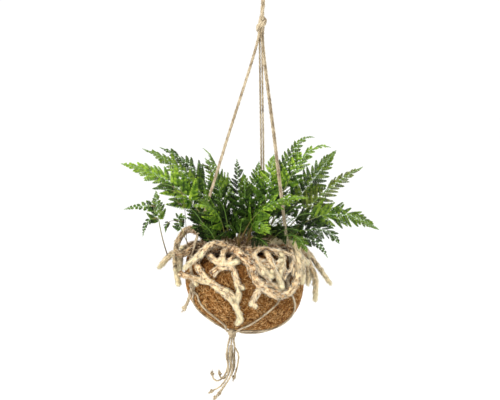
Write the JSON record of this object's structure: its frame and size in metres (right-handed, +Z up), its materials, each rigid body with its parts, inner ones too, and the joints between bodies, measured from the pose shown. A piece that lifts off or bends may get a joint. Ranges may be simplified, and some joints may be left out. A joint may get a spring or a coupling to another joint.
{
  "type": "hanging fern in a coconut-fibre bowl",
  "caption": "Footed fern with furry creeping rhizomes and finely cut fronds, planted in a rounded coconut-fibre bowl and hung in a knotted jute cord hanger with a tassel.",
  "frame": {"origin": "inside top of the hanging loop's eye, where a hook carries the plant", "axes": "+Z up along the hanging loop, +X to the right and +Y to the back as the picture shows the plant"},
  "size_m": [0.4011, 0.2745, 0.6859],
  "materials": {
    "coir": "matte",
    "soil": "matte",
    "jute": "matte",
    "rhizome": "matte",
    "frond_light": "satin",
    "frond_mid": "satin",
    "frond_dark": "satin"
  },
  "bodies": {
    "root": {"coir_bowl": "coir", "potting_soil": "soil", "top_knot": "jute", "gathering_knot": "jute", "knot_left": "jute", "knot_right": "jute", "knot_back": "jute", "hanging_loop": "jute", "leg_left_1": "jute", "leg_left_2": "jute", "leg_right_1": "jute", "leg_right_2": "jute", "leg_back_1": "jute", "leg_back_2": "jute", "net_left_1": "jute", "net_left_2": "jute", "net_right_1": "jute", "net_right_2": "jute", "net_back_1": "jute", "net_back_2": "jute", "tassel_1": "jute", "tassel_2": "jute", "tassel_3": "jute", "tassel_4": "jute", "tassel_5": "jute", "tassel_6": "jute", "knot_tail": "jute", "rhizomes": "rhizome", "frond_01": "frond_light", "frond_02": "frond_mid", "frond_03": "frond_dark", "frond_04": "frond_dark", "frond_05": "frond_mid", "frond_06": "frond_mid", "frond_07": "frond_mid", "frond_08": "frond_light", "frond_09": "frond_mid", "frond_10": "frond_light", "frond_11": "frond_mid", "frond_12": "frond_mid", "frond_13": "frond_dark", "frond_14": "frond_mid", "frond_15": "frond_dark", "frond_16": "frond_light", "frond_17": "frond_light", "frond_18": "frond_light", "frond_19": "frond_mid", "frond_20": "frond_mid", "frond_21": "frond_dark", "frond_22": "frond_mid", "frond_23": "frond_mid", "frond_24": "frond_light", "frond_25": "frond_mid", "frond_26": "frond_dark", "frond_27": "frond_mid", "frond_28": "frond_light", "frond_29": "frond_mid", "frond_30": "frond_dark"}
  },
  "joints": []
}
